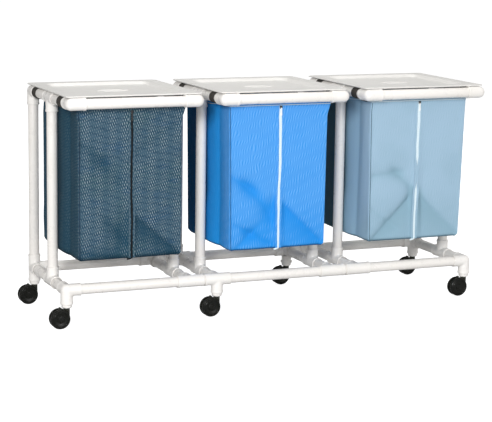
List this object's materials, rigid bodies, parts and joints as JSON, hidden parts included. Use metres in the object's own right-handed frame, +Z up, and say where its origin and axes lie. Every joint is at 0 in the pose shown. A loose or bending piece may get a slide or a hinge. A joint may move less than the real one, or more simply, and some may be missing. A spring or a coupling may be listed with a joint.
{
  "type": "laundry hamper cart",
  "caption": "Wheeled laundry sorting cart of white plastic pipe with three fabric hamper bags side by side, each with a hinged lid and a front zipper.",
  "frame": {"origin": "bottom centre of the cart's box, on the floor", "axes": "+X along the cart to the right as seen from the front, +Y to the rear, +Z up"},
  "size_m": [1.874, 0.5804, 0.9173],
  "materials": {
    "pipe_white": "satin white rigid plastic pipe and moulded slip fittings",
    "lid_white": "formed white plastic sheet, satin",
    "fabric_navy_mesh": "open woven vinyl-coated mesh, navy with lighter threads",
    "fabric_blue": "bright blue coated woven nylon",
    "fabric_light_blue": "light blue coated woven nylon",
    "caster_black": "black moulded nylon",
    "zipper_metal": "dark lacquered zinc"
  },
  "bodies": {
    "frame": {"base_front_rail": "pipe_white", "base_rear_rail": "pipe_white", "cross_member_1": "pipe_white", "front_upright_1": "pipe_white", "rear_upright_1": "pipe_white", "side_tube_1": "pipe_white", "cross_member_2": "pipe_white", "front_upright_2": "pipe_white", "rear_upright_2": "pipe_white", "side_tube_2": "pipe_white", "cross_member_3": "pipe_white", "front_upright_3": "pipe_white", "rear_upright_3": "pipe_white", "side_tube_3": "pipe_white", "cross_member_4": "pipe_white", "front_upright_4": "pipe_white", "rear_upright_4": "pipe_white", "side_tube_4": "pipe_white", "cross_member_5": "pipe_white", "front_upright_5": "pipe_white", "rear_upright_5": "pipe_white", "side_tube_5": "pipe_white", "cross_member_6": "pipe_white", "front_upright_6": "pipe_white", "rear_upright_6": "pipe_white", "side_tube_6": "pipe_white", "front_tube_left": "pipe_white", "rear_tube_left": "pipe_white", "bag_left": "fabric_navy_mesh", "front_tube_middle": "pipe_white", "rear_tube_middle": "pipe_white", "bag_middle": "fabric_blue", "front_tube_right": "pipe_white", "rear_tube_right": "pipe_white", "bag_right": "fabric_light_blue", "leg_front_left": "pipe_white", "leg_front_middle": "pipe_white", "leg_front_right": "pipe_white", "leg_rear_left": "pipe_white", "leg_rear_middle": "pipe_white", "leg_rear_right": "pipe_white"},
    "lid_left": {"lid_left": "lid_white"},
    "lid_middle": {"lid_middle": "lid_white"},
    "lid_right": {"lid_right": "lid_white"},
    "zipper_left": {"zipper_pull_left": "zipper_metal"},
    "zipper_middle": {"zipper_pull_middle": "zipper_metal"},
    "zipper_right": {"zipper_pull_right": "zipper_metal"},
    "caster_front_left": {"caster_fork_front_left": "caster_black"},
    "wheels_front_left": {"caster_wheels_front_left": "caster_black"},
    "caster_front_middle": {"caster_fork_front_middle": "caster_black"},
    "wheels_front_middle": {"caster_wheels_front_middle": "caster_black"},
    "caster_front_right": {"caster_fork_front_right": "caster_black"},
    "wheels_front_right": {"caster_wheels_front_right": "caster_black"},
    "caster_rear_left": {"caster_fork_rear_left": "caster_black"},
    "wheels_rear_left": {"caster_wheels_rear_left": "caster_black"},
    "caster_rear_middle": {"caster_fork_rear_middle": "caster_black"},
    "wheels_rear_middle": {"caster_wheels_rear_middle": "caster_black"},
    "caster_rear_right": {"caster_fork_rear_right": "caster_black"},
    "wheels_rear_right": {"caster_wheels_rear_right": "caster_black"}
  },
  "joints": [
    {"name": "lid_left_hinge", "type": "hinge", "parent": "frame", "child": "lid_left", "pos_m": [-0.61095, 0.2622, 0.88651], "axis": [-1, 0, 0], "range_deg": [0, 90]},
    {"name": "lid_middle_hinge", "type": "hinge", "parent": "frame", "child": "lid_middle", "pos_m": [0.02155, 0.2622, 0.88651], "axis": [-1, 0, 0], "range_deg": [0, 90]},
    {"name": "lid_right_hinge", "type": "hinge", "parent": "frame", "child": "lid_right", "pos_m": [0.65405, 0.2622, 0.88651], "axis": [-1, 0, 0], "range_deg": [0, 90]},
    {"name": "zipper_left_slide", "type": "slide", "parent": "frame", "child": "zipper_left", "axis": [0, 0, -1], "range_m": [0, 0.53]},
    {"name": "zipper_middle_slide", "type": "slide", "parent": "frame", "child": "zipper_middle", "axis": [0, 0, -1], "range_m": [0, 0.53]},
    {"name": "zipper_right_slide", "type": "slide", "parent": "frame", "child": "zipper_right", "axis": [0, 0, -1], "range_m": [0, 0.53]},
    {"name": "caster_front_left_swivel", "type": "hinge", "parent": "frame", "child": "caster_front_left", "pos_m": [-0.86845, -0.1948, 0.08201], "axis": [0, 0, 1], "continuous": true},
    {"name": "wheels_front_left_roll", "type": "hinge", "parent": "caster_front_left", "child": "wheels_front_left", "pos_m": [-0.89745, -0.1948, 0.03951], "axis": [0, 1, 0], "continuous": true},
    {"name": "caster_front_middle_swivel", "type": "hinge", "parent": "frame", "child": "caster_front_middle", "pos_m": [-0.23595, -0.1948, 0.08201], "axis": [0, 0, 1], "continuous": true},
    {"name": "wheels_front_middle_roll", "type": "hinge", "parent": "caster_front_middle", "child": "wheels_front_middle", "pos_m": [-0.26495, -0.1948, 0.03951], "axis": [0, 1, 0], "continuous": true},
    {"name": "caster_front_right_swivel", "type": "hinge", "parent": "frame", "child": "caster_front_right", "pos_m": [0.91155, -0.1948, 0.08201], "axis": [0, 0, 1], "continuous": true},
    {"name": "wheels_front_right_roll", "type": "hinge", "parent": "caster_front_right", "child": "wheels_front_right", "pos_m": [0.88255, -0.1948, 0.03951], "axis": [0, 1, 0], "continuous": true},
    {"name": "caster_rear_left_swivel", "type": "hinge", "parent": "frame", "child": "caster_rear_left", "pos_m": [-0.86845, 0.2622, 0.08201], "axis": [0, 0, 1], "continuous": true},
    {"name": "wheels_rear_left_roll", "type": "hinge", "parent": "caster_rear_left", "child": "wheels_rear_left", "pos_m": [-0.89745, 0.2622, 0.03951], "axis": [0, 1, 0], "continuous": true},
    {"name": "caster_rear_middle_swivel", "type": "hinge", "parent": "frame", "child": "caster_rear_middle", "pos_m": [0.27905, 0.2622, 0.08201], "axis": [0, 0, 1], "continuous": true},
    {"name": "wheels_rear_middle_roll", "type": "hinge", "parent": "caster_rear_middle", "child": "wheels_rear_middle", "pos_m": [0.25005, 0.2622, 0.03951], "axis": [0, 1, 0], "continuous": true},
    {"name": "caster_rear_right_swivel", "type": "hinge", "parent": "frame", "child": "caster_rear_right", "pos_m": [0.91155, 0.2622, 0.08201], "axis": [0, 0, 1], "continuous": true},
    {"name": "wheels_rear_right_roll", "type": "hinge", "parent": "caster_rear_right", "child": "wheels_rear_right", "pos_m": [0.88255, 0.2622, 0.03951], "axis": [0, 1, 0], "continuous": true}
  ]
}
